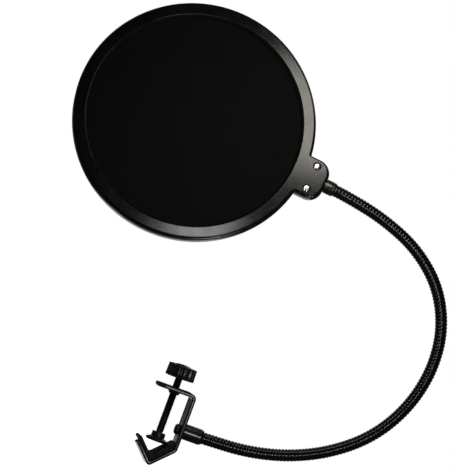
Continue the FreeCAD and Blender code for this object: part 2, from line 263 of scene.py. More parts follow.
def bevel_edges(obj, width, segments=3, above_deg=30):
    """Round the sharp edges of a mesh whose flat ends are single faces."""
    edit = bmesh.new()
    edit.from_mesh(obj.data)
    sharp = [e for e in edit.edges if len(e.link_faces) == 2
             and e.calc_face_angle(0) > math.radians(above_deg)]
    bmesh.ops.bevel(edit, geom=sharp, offset=width, segments=segments, profile=0.5, affect="EDGES",
                    clamp_overlap=True)
    bmesh.ops.recalc_face_normals(edit, faces=edit.faces)
    edit.to_mesh(obj.data)
    edit.free()
    smooth(obj, 35)
    return obj


def extruded(name, outline, half_width, bevel):
    """An outline in the XZ plane, given depth along Y, with rounded edges."""
    count = len(outline)
    verts = [(u, y, v) for y in (-half_width, half_width) for u, v in outline]
    faces = [tuple(range(count)), tuple(range(2 * count - 1, count - 1, -1))]
    faces += [(i, (i + 1) % count, count + (i + 1) % count, count + i) for i in range(count)]
    return bevel_edges(mesh_object(name, verts, faces), bevel)


# ---------------------------------------------------------------- materials
class Look:
    """A material with short calls for the nodes that it needs."""

    def __init__(self, name):
        self.material = bpy.data.materials.new(name)
        self.material.use_nodes = True
        self.tree = self.material.node_tree
        self.shader = self.tree.nodes["Principled BSDF"]
        self.coords = self.node("ShaderNodeTexCoord").outputs["Object"]

    def node(self, kind, **settings):
        node = self.tree.nodes.new(kind)
        for key, value in settings.items():
            if key in node.inputs:
                node.inputs[key].default_value = value
            else:
                setattr(node, key, value)
        return node

    def link(self, source, target):
        self.tree.links.new(source, target)

    def set(self, **values):
        for key, value in values.items():
            self.shader.inputs[key.replace("_", " ")].default_value = value
        return self

    def noise(self, scale, detail=2.0, rough=0.5, stretch=None):
        coords = self.coords
        if stretch:
            mapping = self.node("ShaderNodeMapping")
            mapping.inputs["Scale"].default_value = stretch
            self.link(coords, mapping.inputs["Vector"])
            coords = mapping.outputs["Vector"]
        noise = self.node("ShaderNodeTexNoise", Scale=scale, Detail=detail, Roughness=rough)
        self.link(coords, noise.inputs["Vector"])
        return noise.outputs["Fac"]

    def ramp(self, factor, stops):
        """Map a factor to colours: stops are (position, grey or colour)."""
        ramp = self.node("ShaderNodeValToRGB")
        elements = ramp.color_ramp.elements
        while len(elements) < len(stops):
            elements.new(0.5)
        for element, (position, value) in zip(elements, stops):
            element.position = position
            colour = (value,) * 3 if isinstance(value, (int, float)) else value
            element.color = (*colour, 1)
        self.link(factor, ramp.inputs["Fac"])
        return ramp.outputs["Color"]

    def colour(self, factor, *stops):
        self.link(self.ramp(factor, stops), self.shader.inputs["Base Color"])
        return self

    def roughness(self, factor, low, high):
        span = self.node("ShaderNodeMapRange")
        span.inputs["From Min"].default_value = 0.3
        span.inputs["From Max"].default_value = 0.7
        span.inputs["To Min"].default_value = low
        span.inputs["To Max"].default_value = high
        self.link(factor, span.inputs["Value"])
        self.link(span.outputs["Result"], self.shader.inputs["Roughness"])
        return self

    def bump(self, *layers):
        """Each layer is (height factor, depth in metres)."""
        normal = None
        for factor, depth in layers:
            bump = self.node("ShaderNodeBump", Strength=1.0, Distance=depth)
            self.link(factor, bump.inputs["Height"])
            if normal is not None:
                self.link(normal, bump.inputs["Normal"])
            normal = bump.outputs["Normal"]
        self.link(normal, self.shader.inputs["Normal"])
        return self


def hoop_plastic():
    """Black moulded plastic with a fine spark-eroded grain and faint handling marks."""
    look = Look("hoop_plastic").set(Specular_IOR_Level=0.55)
    grain = look.noise(2600, 2.0, 0.6)
    broad = look.noise(45, 3.0, 0.55)
    look.colour(broad, (0.3, (0.004, 0.0041, 0.0043)), (0.7, (0.009, 0.0088, 0.0085)))
    look.roughness(look.noise(160, 4.0, 0.6), 0.17, 0.25)
    return look.bump((grain, 0.000009), (look.noise(700, 2.0), 0.000008)).material


def bracket_paint():
    """Satin black baked paint on steel, with slight orange peel, worn thin on its edges."""
    look = Look("bracket_paint").set(Specular_IOR_Level=0.6, Coat_Weight=0.15, Coat_Roughness=0.25)
    geometry = look.node("ShaderNodeNewGeometry")
    worn = look.ramp(geometry.outputs["Pointiness"], [(0.53, 0.0), (0.6, 1.0)])
    mix = look.node("ShaderNodeMixRGB")
    look.link(worn, mix.inputs["Fac"])
    look.link(look.ramp(look.noise(90, 3.0), [(0.35, 0.010), (0.7, 0.017)]), mix.inputs["Color1"])
    mix.inputs["Color2"].default_value = (0.05, 0.05, 0.052, 1)
    look.link(mix.outputs["Color"], look.shader.inputs["Base Color"])
    look.roughness(look.noise(220, 4.0, 0.6), 0.22, 0.30)
    return look.bump((look.noise(900, 3.0, 0.6), 0.00001)).material


def jaw_rubber():
    look = Look("jaw_rubber").set(Specular_IOR_Level=0.35)
    look.colour(look.noise(120, 4.0, 0.6), (0.3, (0.008, 0.008, 0.009)), (0.75, (0.022, 0.021, 0.02)))
    look.roughness(look.noise(300, 3.0), 0.55, 0.8)
    return look.bump((look.noise(1500, 3.0, 0.65), 0.00006)).material


def knob_plastic():
    look = Look("knob_plastic").set(Specular_IOR_Level=0.95)
    look.colour(look.noise(70, 3.0), (0.3, (0.008, 0.008, 0.0085)), (0.7, (0.014, 0.014, 0.014)))
    look.roughness(look.noise(260, 4.0), 0.24, 0.34)
    return look.bump((look.noise(1800, 2.0, 0.6), 0.00003)).material


def blackened_steel():
    """Oil-blackened steel: dark, a little metallic, lighter where it rubs."""
    look = Look("blackened_steel").set(Metallic=0.55, Specular_IOR_Level=0.5)
    look.colour(look.noise(240, 5.0, 0.65), (0.3, (0.016, 0.016, 0.017)), (0.68, (0.04, 0.039, 0.038)))
    look.roughness(look.noise(400, 4.0), 0.30, 0.48)
    return look.bump((look.noise(1400, 3.0), 0.00002)).material


def plain_steel():
    look = Look("plain_steel").set(Metallic=1.0)
    look.colour(look.noise(180, 4.0), (0.3, (0.38, 0.38, 0.39)), (0.7, (0.52, 0.52, 0.53)))
    look.roughness(look.noise(500, 4.0), 0.25, 0.42)
    return look.bump((look.noise(1600, 2.0), 0.00001)).material


def ferrule_metal():
    """Smooth black plated sleeve with faint turning lines."""
    look = Look("ferrule_metal").set(Specular_IOR_Level=0.8, Coat_Weight=0.3, Coat_Roughness=0.2)
    look.colour(look.noise(90, 3.0), (0.3, (0.012, 0.0125, 0.012)), (0.7, (0.02, 0.02, 0.019)))
    look.roughness(look.noise(300, 3.0, 0.5, (12, 1, 1)), 0.2, 0.32)
    return look.bump((look.noise(900, 2.0, 0.5, (6, 1, 1)), 0.000004)).material


def neck_coil():
    """Black coated wire, semi-gloss on its crests, with painted shade darkening it between its turns."""
    look = Look("neck_coil").set(Specular_IOR_Level=0.7, Coat_Weight=0.25, Coat_Roughness=0.1)
    groove_shade = look.node("ShaderNodeAttribute", attribute_name="groove_shade").outputs["Fac"]
    mix = look.node("ShaderNodeMixRGB")
    look.link(groove_shade, mix.inputs["Fac"])
    look.link(look.ramp(look.noise(150, 4.0), [(0.3, 0.010), (0.7, 0.017)]), mix.inputs["Color1"])
    # painted shade: near black where the groove_shade weight is high, between the turns and in the bore
    mix.inputs["Color2"].default_value = (0.004, 0.004, 0.005, 1)
    look.link(mix.outputs["Color"], look.shader.inputs["Base Color"])
    look.roughness(look.noise(500, 3.0), 0.14, 0.22)
    return look.bump((look.noise(2400, 2.0), 0.00001)).material


def spring_steel():
    look = Look("spring_steel").set(Metallic=1.0)
    look.colour(look.noise(400, 3.0), (0.3, (0.22, 0.22, 0.23)), (0.7, (0.34, 0.34, 0.35)))
    look.roughness(look.noise(700, 3.0), 0.28, 0.4)
    return look.bump((look.noise(2500, 2.0), 0.000006)).material


def bright_screw():
    look = Look("bright_screw").set(Metallic=1.0)
    look.colour(look.noise(600, 3.0), (0.3, (0.78, 0.78, 0.79)), (0.7, (0.92, 0.92, 0.93)))
    look.roughness(look.noise(900, 3.0), 0.16, 0.3)
    return look.bump((look.noise(2200, 2.0), 0.00001)).material


def screen_mesh():
    """Fine black nylon net: two sets of threads, dark between them, with a slow drift where they pack."""
    look = Look("screen_mesh").set(Specular_IOR_Level=0.1, Sheen_Weight=0.05, Sheen_Roughness=0.45)
    threads = []
    for angle in (0.42, 0.42 + math.pi / 2):
        mapping = look.node("ShaderNodeMapping")
        mapping.inputs["Rotation"].default_value = (0, angle, 0)
        look.link(look.coords, mapping.inputs["Vector"])
        wave = look.node("ShaderNodeTexWave", wave_type="BANDS", bands_direction="X",
                         wave_profile="SIN", Scale=790.0, Distortion=0.0)
        look.link(mapping.outputs["Vector"], wave.inputs["Vector"])
        threads.append(wave.outputs["Fac"])
    net = look.node("ShaderNodeMath", operation="MAXIMUM")
    look.link(threads[0], net.inputs[0])
    look.link(threads[1], net.inputs[1])
    look.colour(net.outputs["Value"], (0.35, (0.0012, 0.0012, 0.0014)), (0.9, (0.0075, 0.0075, 0.008)))
    look.roughness(look.noise(60, 3.0), 0.62, 0.8)
    return look.bump((net.outputs["Value"], 0.00012), (look.noise(35, 2.0), 0.0003)).material


LOOKS = {make.__name__: make() for make in (
    hoop_plastic, bracket_paint, jaw_rubber, knob_plastic, blackened_steel, plain_steel, ferrule_metal,
    neck_coil, spring_steel, bright_screw, screen_mesh)}


def finish_piece(obj, look, body, *nodes):
    """Give a piece its material, hide the nodes that it stands for, and attach it to the body that it rides on."""
    obj.data.materials.clear()
    obj.data.materials.append(LOOKS[look])
    if nodes:
        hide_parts(*nodes)
    if body:
        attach(obj, body)
    return obj


# ---------------------------------------------------------------- gooseneck
class Run:
    """One stretch of the neck's line: straight, or bent smoothly about a hinge."""

    def __init__(self, start, end, hinge=None, bodies=()):
        self.start, self.end, self.hinge, self.bodies = Vector(start), Vector(end), hinge, bodies
        fine = np.linspace(0, 1, 201)
        points = np.array([self.at(t) for t in fine])
        self.fine = fine
        self.lengths = np.concatenate([[0], np.cumsum(np.linalg.norm(np.diff(points, axis=0), axis=1))])
        self.length = float(self.lengths[-1])

    def at(self, t):
        if self.hinge is None:
            return self.start.lerp(self.end, t)
        return self.start.lerp(self.hinge, t).lerp(self.hinge.lerp(self.end, t), t)

    def tangent(self, t):
        if self.hinge is None:
            return (self.end - self.start).normalized()
        return (self.hinge.lerp(self.end, t) - self.start.lerp(self.hinge, t)).normalized()

    def at_length(self, s):
        t = float(np.interp(s, self.lengths, self.fine))
        return self.at(t), self.tangent(t)


def neck_runs(centre):
    """The neck's whole line, from inside the lower ferrule to the anchor in the screen's tab."""
    hinges = [j for j in frame["joints"] if j["name"].startswith(("neck_bend", "neck_side"))]
    points = [Vector(j["pos_m"]) for j in hinges]
    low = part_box("neck_wrap_00")[0].x
    mouth = Vector((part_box("lower_ferrule")[1].x, 0, points[0].z))
    runs = [Run((low, 0, points[0].z), mouth, bodies=("neck_root",))]
    ends = [mouth] + [a.lerp(b, 0.5) for a, b in zip(points, points[1:])]
    towards = (centre - points[-1]).normalized()
    ends.append(points[-1] + towards * BEND_REACH)
    for joint, start, end, hinge in zip(hinges, ends, ends[1:], points):
        runs.append(Run(start, end, hinge, (joint["parent"], joint["child"])))
    last = (centre - points[-1]).length - NECK_END
    runs.append(Run(ends[-1], points[-1] + towards * last, bodies=("screen",)))
    return runs


def coil_radius(turns):
    """Height of the coil's surface: a round wire, then the top of the wedge wire beside it."""
    u = turns % 1.0
    if u < COIL_WIRE_SHARE:
        return COIL_CORE_R + COIL_WIRE_RISE * math.sin(math.pi * u / COIL_WIRE_SHARE) ** 0.6
    v = (u - COIL_WIRE_SHARE) / (1 - COIL_WIRE_SHARE)
    return COIL_CORE_R + 0.05 * MM * math.sin(math.pi * v)


def ring_frame(tangent, across):
    across = (across - tangent * across.dot(tangent)).normalized()
    return across, tangent.cross(across)


def coil_piece(name, run, s0, across):
    """The outer coil over one run: a ribbed outside, a plain bore and flat ends."""
    count = max(3, round(run.length / COIL_PITCH * COIL_STEPS))
    verts, groove_shade_weights = [], []
    for i in range(count + 1):
        s = run.length * i / count
        point, tangent = run.at_length(s)
        across, up = ring_frame(tangent, across)
        for k in range(COIL_SIDES):
            a = 2 * math.pi * k / COIL_SIDES
            radius = coil_radius((s0 + s) / COIL_PITCH - k / COIL_SIDES)
            verts.append(point + (across * math.cos(a) + up * math.sin(a)) * radius)
            # painted shade weight: 1 in the hollows between turns, 0 on the wire's crests
            groove_shade_weights.append(1.0 - min(1.0, (radius - COIL_CORE_R) / (0.8 * COIL_WIRE_RISE)))
    faces = grid_faces(count + 1, COIL_SIDES, False, True)
    inner_rows = max(2, round(run.length / (4 * MM)))
    base = len(verts)
    inner = across
    for i in range(inner_rows + 1):
        point, tangent = run.at_length(run.length * i / inner_rows)
        inner, up = ring_frame(tangent, inner)
        for k in range(COIL_SIDES):
            a = 2 * math.pi * k / COIL_SIDES
            verts.append(point + (inner * math.cos(a) + up * math.sin(a)) * COIL_BORE_R)
            # the bore takes the full painted shade weight
            groove_shade_weights.append(1.0)
    faces += [tuple(base + v for v in f) for f in grid_faces(inner_rows + 1, COIL_SIDES, False, True)]
    for outer_row, inner_row in ((0, 0), (count, inner_rows)):
        for k in range(COIL_SIDES):
            n = (k + 1) % COIL_SIDES
            o, b = outer_row * COIL_SIDES, base + inner_row * COIL_SIDES
            faces.append((o + k, o + n, b + n, b + k))
    mesh = bpy.data.meshes.new(name)
    mesh.from_pydata([tuple(v) for v in verts], [], faces)
    mesh.attributes.new("groove_shade", "FLOAT", "POINT").data.foreach_set("value", groove_shade_weights)
    edit = bmesh.new()
    edit.from_mesh(mesh)
    bmesh.ops.recalc_face_normals(edit, faces=edit.faces)
    edit.to_mesh(mesh)
    edit.free()
    obj = bpy.data.objects.new(name, mesh)
    bpy.context.scene.collection.objects.link(obj)
    smooth(obj, 60)
    return obj, across


def spring_piece(name, run, s0, across):
    """The inner spring over one run: a round wire wound inside the coil's bore."""
    count = max(4, round(run.length / SPRING_PITCH * SPRING_STEPS))
    centres = []
    for i in range(count + 1):
        s = run.length * i / count
        point, tangent = run.at_length(s)
        across, up = ring_frame(tangent, across)
        a = 2 * math.pi * (s0 + s) / SPRING_PITCH
        centres.append((point, tangent, across * math.cos(a) + up * math.sin(a)))
    verts = []
    for point, tangent, out in centres:
        for k in range(SPRING_SIDES):
            b = 2 * math.pi * k / SPRING_SIDES
            verts.append(point + out * (SPRING_R + SPRING_WIRE_R * math.cos(b))
                         + tangent * SPRING_WIRE_R * math.sin(b))
    faces = grid_faces(count + 1, SPRING_SIDES, False, True)
    faces.append(tuple(range(SPRING_SIDES)))
    faces.append(tuple(count * SPRING_SIDES + k for k in range(SPRING_SIDES)))
    return mesh_object(name, verts, faces, 60), across


def make_neck(centre):
    runs = neck_runs(centre)
    s0 = 0.0
    coil_across = spring_across = Vector((0, 1, 0))
    for i, run in enumerate(runs):
        coil, coil_across = coil_piece(f"neck_coil_{i:02d}", run, s0, coil_across)
        spring, spring_across = spring_piece(f"neck_core_{i:02d}", run, s0, spring_across)
        s0 += run.length
        for obj, look, node in ((coil, "neck_coil", "neck_wrap"), (spring, "spring_steel", "neck_spring")):
            nodes = [f"{node}_{i:02d}"] if i <= 12 else []
            finish_piece(obj, look, None, *nodes)
            if len(run.bodies) == 2:
                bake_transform(obj)
            else:
                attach(obj, run.bodies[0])


# ---------------------------------------------------------------- screen head
def tab_outline():
    """Points and outward directions round the hoop and its tab, anticlockwise from behind the tab."""
    out = []

    def arc(cx, cy, radius, start, end, steps, hollow=False):
        for k in range(steps + 1):
            a = start + (end - start) * k / steps
            direction = Vector((math.cos(a), math.sin(a)))
            point = Vector((cx, cy)) + direction * radius
            out.append((point, -direction if hollow else direction))

    notch_y = TAB_HALF_W + TAB_NOTCH_R
    notch_x = math.sqrt((HOOP_R + TAB_NOTCH_R) ** 2 - notch_y ** 2)
    meet = math.atan2(notch_y, notch_x)
    corner_x, corner_y = TAB_END - TAB_CORNER_R, TAB_HALF_W - TAB_CORNER_R
    arc(0, 0, HOOP_R, meet, 2 * math.pi - meet, 300)
    arc(notch_x, -notch_y, TAB_NOTCH_R, math.pi - meet, math.pi / 2, 6, hollow=True)
    arc(corner_x, -corner_y, TAB_CORNER_R, -math.pi / 2, 0, 14)
    arc(corner_x, corner_y, TAB_CORNER_R, 0, math.pi / 2, 14)
    arc(notch_x, notch_y, TAB_NOTCH_R, 1.5 * math.pi, math.pi + meet, 6, hollow=True)
    return out


def countersink(obj):
    """The two tapered recesses round the tab's screw heads."""
    slope = (TAB_RECESS_TOP_R - TAB_RECESS_LOW_R) / TAB_RECESS_DEPTH
    over = 0.5 * MM
    profile = [(0, -TAB_RECESS_DEPTH), (TAB_RECESS_LOW_R, -TAB_RECESS_DEPTH),
               (TAB_RECESS_TOP_R + slope * over, over), (0, over)]
    for s in (-1, 1):
        cutter = place(lathe("cutter", profile, 48), (TAB_SCREW_X, s * TAB_SCREW_HALF_PITCH, FACE_H),
                       (1, 0, 0), (0, 0, 1))
        boolean(obj, cutter)


def hoop_loops(inner_before, outer, inner_after, name):
    """A closed ring: circles (radius, height), then loops along the outline (inset, height), then circles."""
    outline = tab_outline()
    verts = []
    for point, direction in outline:
        a = math.atan2(point.y, point.x)
        ring = [(r * math.cos(a), r * math.sin(a), h) for r, h in inner_before]
        for inset, height in outer:
            p = point - direction * inset
            ring.append((p.x, p.y, height))
        ring += [(r * math.cos(a), r * math.sin(a), h) for r, h in inner_after]
        verts += ring
    cols = len(inner_before) + len(outer) + len(inner_after)
    return mesh_object(name, verts, grid_faces(len(outline), cols, True, True), 40)


def make_head():
    front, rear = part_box("front_mesh"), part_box("rear_mesh")
    front_mid, rear_mid = (front[0] + front[1]) / 2, (rear[0] + rear[1]) / 2
    centre, normal = (front_mid + rear_mid) / 2, (front_mid - rear_mid).normalized()
    last_hinge = Vector(frame["joints"][-1]["pos_m"])
    to_tab = last_hinge - centre

    roll_x, roll_h = OPENING_R + LIP_W, FACE_H - LIP_ROLL
    lip = [(OPENING_R, FACE_H - LIP_H)]
    lip += [(roll_x - LIP_ROLL * math.cos(a), roll_h + LIP_ROLL * math.sin(a))
            for a in (math.pi / 2 * k / 6 for k in range(1, 7))]
    lip.append((roll_x + 0.7 * MM, FACE_H))
    shoulder = [(SHOULDER - SHOULDER * math.sin(a), FACE_H - SHOULDER + SHOULDER * math.cos(a))
                for a in (math.pi / 2 * k / 6 for k in range(7))]
    front_outer = [(SHOULDER + 0.3 * MM, FACE_H)] + shoulder
    front_outer += [(0.0, SPLIT_H + 0.16 * MM), (0.12 * MM, SPLIT_H + 0.08 * MM), (WALL, SPLIT_H + 0.08 * MM)]
    hoop = hoop_loops([(OPENING_R, MESH_SEAT_H)] + lip, front_outer,
                      [(OPENING_R + 1.8 * MM, SPLIT_H + 0.08 * MM), (OPENING_R + 1.8 * MM, MESH_SEAT_H)],
                      "front_hoop_shell")
    countersink(hoop)
    smooth(hoop, 40)

    step, edge = -REAR_STEP, REAR_EDGE
    low_edge = [(step + edge - edge * math.cos(a), -FACE_H + edge - edge * math.sin(a))
                for a in (math.pi / 2 * k / 5 for k in range(6))]
    rear_outer = [(WALL, SPLIT_H), (0.1 * MM, SPLIT_H), (step / 2, SPLIT_H - 0.25 * MM), (step, MESH_SEAT_H)]
    rear_outer += low_edge + [(edge + 1.2 * MM, -FACE_H)]
    rear_inner = [(OPENING_R + 0.5 * MM, -FACE_H), (OPENING_R + 0.15 * MM, -FACE_H + 0.15 * MM),
                  (OPENING_R, -FACE_H + 0.5 * MM), (OPENING_R, -MESH_SEAT_H), (SPACER_R, -MESH_SEAT_H),
                  (SPACER_R, SPLIT_H)]
    back = hoop_loops([], rear_outer, rear_inner, "rear_hoop_shell")

    spacer = lathe("mesh_spacer_ring", rounded([
        (70.8 * MM, -0.98 * MM, 0.2 * MM), (SPACER_R, -0.98 * MM, 0.2 * MM),
        (SPACER_R, 0.98 * MM, 0.2 * MM), (70.8 * MM, 0.98 * MM, 0.2 * MM)], 2), 192)

    pieces = [(hoop, "hoop_plastic", ["front_hoop"]), (back, "hoop_plastic", ["rear_hoop"]),
              (spacer, "hoop_plastic", ["mesh_spacer"])]
    for name, side, node in (("front_net", 1, "front_mesh"), ("rear_net", -1, "rear_mesh")):
        pieces.append((net(name, side), "screen_mesh", [node]))
    pieces.append((tab_screw_pair(), "bright_screw", ["tab_screws"]))
    pieces.append((sleeve(), "ferrule_metal", ["upper_ferrule"]))
    for obj, look, nodes in pieces:
        place(obj, centre, to_tab, normal)
        finish_piece(obj, look, "screen", *nodes)
    return centre, normal


def net(name, side):
    """A round of stretched net, drawn very slightly out of flat by its own weave."""
    radius, half = SPACER_R - 0.1 * MM, 0.12 * MM
    rings, sides = 40, 192
    verts = []
    for i in range(rings + 1):
        r = radius * i / rings
        for k in range(sides):
            a = 2 * math.pi * k / sides
            fade = max(0.0, 1 - (r / OPENING_R) ** 2) if r < OPENING_R else 0.0
            wave = 0.00012 * fade * math.sin(3 * a + 1.1 + side) * math.sin(9 * r / radius)
            verts.append((r * math.cos(a), r * math.sin(a), side * 1.15 * MM + wave))
    layers = [[(x, y, z + s * half) for x, y, z in verts] for s in (1, -1)]
    rows = [layers[1][i * sides:(i + 1) * sides] for i in range(rings, -1, -1)]
    points = layers[0] + [p for row in rows for p in row]
    return mesh_object(name, points, grid_faces(2 * (rings + 1), sides, True, True), 60)


def tab_screw_pair():
    """Two pan heads with cross recesses, on plain shanks."""
    screws = []
    for s, turn in ((-1, 0.5), (1, 1.1)):
        head_z = FACE_H - TAB_RECESS_DEPTH
        side, rise = 0.55 * MM, 0.3 * MM
        dome = [(2.0 * MM * math.cos(a), head_z + side + rise * math.sin(a))
                for a in (math.pi / 2 * k / 8 for k in range(9))]
        profile = [(0, -2.7 * MM), (1.25 * MM, -2.7 * MM), (1.25 * MM, head_z), (2.0 * MM, head_z)] + dome
        screw = lathe("screw", profile, 48)
        for angle in (turn, turn + math.pi / 2):
            blade = cross_blade(1.15 * MM, 0.26 * MM, head_z + 0.35 * MM, head_z + 2 * MM)
            blade.data.transform(Matrix.Rotation(angle, 4, "Z"))
            boolean(screw, blade)
        screw.data.transform(Matrix.Translation((TAB_SCREW_X, s * TAB_SCREW_HALF_PITCH, 0)))
        screws.append(screw)
    return join("tab_screw_pair", *screws)


def cross_blade(reach, half, low, high):
    """One bar of a cross recess, narrower at its bottom, used only to cut."""
    verts = []
    for z, share in ((low, 0.55), (high, 1.25)):
        for x, y in ((-1, -1), (1, -1), (1, 1), (-1, 1)):
            verts.append((x * reach * share, y * half * (0.7 + 0.3 * share), z))
    faces = [(0, 1, 2, 3), (4, 5, 6, 7), (0, 1, 5, 4), (1, 2, 6, 5), (2, 3, 7, 6), (3, 0, 4, 7)]
    return mesh_object("blade", verts, faces)


def sleeve():
    """The crimped sleeve where the neck enters the tab, lying along the head's X axis."""
    start, end = TAB_END + REAR_STEP + 0.1 * MM, SLEEVE_END
    corners = [(4.02 * MM, start, 0), (4.6 * MM, start, 0.15 * MM), (4.6 * MM, end - 1.6 * MM, 0.3 * MM),
               (4.42 * MM, end - 1.1 * MM, 0.2 * MM), (4.6 * MM, end - 0.6 * MM, 0.2 * MM),
               (4.35 * MM, end, 0.15 * MM), (4.02 * MM, end, 0)]
    obj = lathe("upper_sleeve", rounded(corners, 3), 64)
    obj.data.transform(Matrix.Rotation(math.pi / 2, 4, "Y"))
    return obj


# ---------------------------------------------------------------- clamp
def strip_points(layer):
    """Corners of the bent strip, a layer's thickness outside the pad's back."""
    long_off, short_off = PAD_T + layer, PAD_SHORT_T + layer
    x = BACK_X + layer
    v = ((long_off - short_off) / math.sqrt(2), -(long_off + short_off) / math.sqrt(2))
    return v, (x, x - long_off * math.sqrt(2)), x


def along(point, degrees, length):
    a = math.radians(degrees)
    return point[0] + length * math.cos(a), point[1] + length * math.sin(a)


def make_bracket():
    inner_v, inner_low, inner_x = strip_points(0.0)
    outer_v, outer_low, outer_x = strip_points(STRIP_T)
    top = FLANGE_UNDER_Z + STRIP_T
    tip_in = along(inner_v, 135, METAL_SHORT_LEG)
    tip_out = along(outer_v, 135, METAL_SHORT_LEG + STRIP_T)
    corners = [(FLANGE_TIP_X, FLANGE_UNDER_Z, 0), (inner_x, FLANGE_UNDER_Z, TOP_BEND_R),
               (*inner_low, LOW_BEND_R), (*inner_v, V_IN_R), (*tip_in, 0), (*tip_out, 0),
               (*outer_v, V_OUT_R), (*outer_low, LOW_BEND_R + STRIP_T),
               (outer_x, top, TOP_BEND_R + STRIP_T), (FLANGE_TIP_X, top, 0)]
    strip = extruded("bracket_strip", rounded(corners, 8), STRIP_HALF_W, 0.9 * MM)
    boolean(strip, flange_trim(), "DIFFERENCE")
    burr = lathe("burr", rounded([
        (2.0 * MM, 1.0 * MM, 0), (5.2 * MM, 1.0 * MM, 0), (4.9 * MM, 0.02 * MM, 0.3 * MM),
        (4.2 * MM, -0.3 * MM, 0.8 * MM), (2.95 * MM, -2.0 * MM, 0.3 * MM), (2.0 * MM, -2.0 * MM, 0)], 4), 64)
    place(burr, (SCREW_X, 0, FLANGE_UNDER_Z), (1, 0, 0), (0, 0, 1))
    boolean(strip, burr, "UNION")
    boolean(strip, drill("hole", SCREW_R + 0.08 * MM, (SCREW_X, 0, 35 * MM), (0, 0, 1), 15 * MM))
    boolean(strip, drill("hole", 2.06 * MM, (BACK_X - 2 * MM, 0, NECK_Z), (1, 0, 0), 6 * MM))
    smooth(strip, 35)
    finish_piece(strip, "bracket_paint", "clamp", "clamp_bracket")


def flange_trim():
    """The corners cut off the flange's tip, as one closed cutter."""
    r, w = FLANGE_CORNER_R, STRIP_HALF_W
    parts = []
    for s in (-1, 1):
        outline = [(FLANGE_TIP_X - 2 * MM, s * (w + 2 * MM)), (FLANGE_TIP_X - 2 * MM, s * (w - r))]
        outline += [(FLANGE_TIP_X + r - r * math.cos(a), s * (w - r + r * math.sin(a)))
                    for a in (math.pi / 2 * k / 12 for k in range(13))]
        outline += [(FLANGE_TIP_X + r, s * (w + 2 * MM))]
        n = len(outline)
        verts = [(x, y, z) for z in (FLANGE_UNDER_Z - 3 * MM, FLANGE_UNDER_Z + 6 * MM) for x, y in outline]
        faces = [tuple(range(n)), tuple(range(2 * n - 1, n - 1, -1))]
        faces += [(i, (i + 1) % n, n + (i + 1) % n, n + i) for i in range(n)]
        parts.append(mesh_object("trim", verts, faces))
    return join("trim_pair", *parts)


def make_pad():
    outer_v, lower, back_x = strip_points(0.0)
    tip_in = along((0.0, 0.0), 135, PAD_SHORT_LEG)
    tip_out = along(outer_v, 135, PAD_SHORT_LEG + PAD_T)
    corners = [(0.0, 0.0, PAD_CORNER_R), (PAD_TOP_Z, PAD_TOP_Z, 0.5 * MM), (back_x, PAD_TOP_Z, 0),
               (*lower, LOW_BEND_R), (*outer_v, V_IN_R), (*tip_out, 0.95 * MM), (*tip_in, 0.95 * MM)]
    pad = extruded("jaw_pad_rubber", rounded(corners, 8), STRIP_HALF_W, 0.3 * MM)
    finish_piece(pad, "jaw_rubber", "clamp", "jaw_pad")


def on_screw(obj):
    """Shift a part turned about Z onto the clamp screw's axis."""
    obj.data.transform(Matrix.Translation((SCREW_X, 0, 0)))
    return obj


def make_screw():
    """Threaded rod with its turned-down neck and ball; the thread is one continuous ridge."""
    low, high = HUB_TOP_Z + 0.3 * MM, 57.5 * MM
    sides, steps = 40, 8
    count = round((high - low) / SCREW_PITCH * steps)
    verts = []
    for i in range(count + 1):
        z = low + (high - low) * i / count
        fade = min(1.0, (z - low) / (0.8 * MM), (high - z) / (0.8 * MM))
        for k in range(sides):
            a = 2 * math.pi * k / sides
            u = (z / SCREW_PITCH - k / sides) % 1.0
            depth = 0.34 * MM * abs(2 * u - 1) ** 1.1
            radius = SCREW_R - depth * fade - 0.3 * MM * (1 - fade)
            verts.append((radius * math.cos(a), radius * math.sin(a), z))
    faces = grid_faces(count + 1, sides, False, True)
    faces += [tuple(range(sides)), tuple(count * sides + k for k in range(sides))]
    rod = mesh_object("rod", verts, faces, 60)
    start = math.asin(1.6 * MM / BALL_R)
    ball = [(BALL_R * math.sin(a), BALL_Z + BALL_R * math.cos(a))
            for a in (start + (math.pi - start) * k / 16 for k in range(17))]
    tip = lathe("tip", [(0, low + 0.4 * MM), (1.6 * MM, low + 0.4 * MM)] + ball, 48)
    screw = on_screw(join("clamp_screw_rod", rod, tip))
    finish_piece(screw, "blackened_steel", "screw", "clamp_screw")


def make_knob():
    """Fluted knob: narrow flutes between broad lobes, slightly tapered, with a gently raised top."""
    lobes, phase = 10, math.radians(-97.7)
    low, high, wide, narrow = 51.1 * MM, 59.2 * MM, 9.5 * MM, 9.25 * MM
    sides = 240

    def flute(a):
        u = math.cos(lobes * (a - phase)) * 0.5 + 0.5
        return 0.95 * MM * u ** 2.6

    profile = [(2.47 * MM, 0.0, low + 0.1 * MM), (2.8 * MM, 0.0, low), (wide - 0.8 * MM, 0.8, low),
               (wide - 0.2 * MM, 1.0, low + 0.12 * MM), (wide, 1.0, low + 0.4 * MM),
               ((wide + narrow) / 2, 1.0, (low + high) / 2), (narrow, 1.0, high - 0.4 * MM),
               (narrow - 0.12 * MM, 1.0, high - 0.1 * MM), (narrow - 0.5 * MM, 0.8, high), (7.0 * MM, 0.0, high)]
    dome = [(5.6 * MM * math.cos(a), 0.0, high + 1.0 * MM * math.sin(a))
            for a in (math.pi / 2 * k / 8 for k in range(1, 9))]
    profile += dome
    verts = []
    for k in range(sides):
        a = 2 * math.pi * k / sides
        for r, share, z in profile:
            q = r - flute(a) * share
            verts.append((q * math.cos(a), q * math.sin(a), z))
    faces = grid_faces(sides, len(profile), True, False)
    verts.append((0, 0, low + 2 * MM))
    hub = len(verts) - 1
    count = len(profile)
    faces += [(((k + 1) % sides) * count, k * count, hub) for k in range(sides)]
    knob = on_screw(mesh_object("knob_grip", verts, faces, 50))
    finish_piece(knob, "knob_plastic", "screw", "knob")


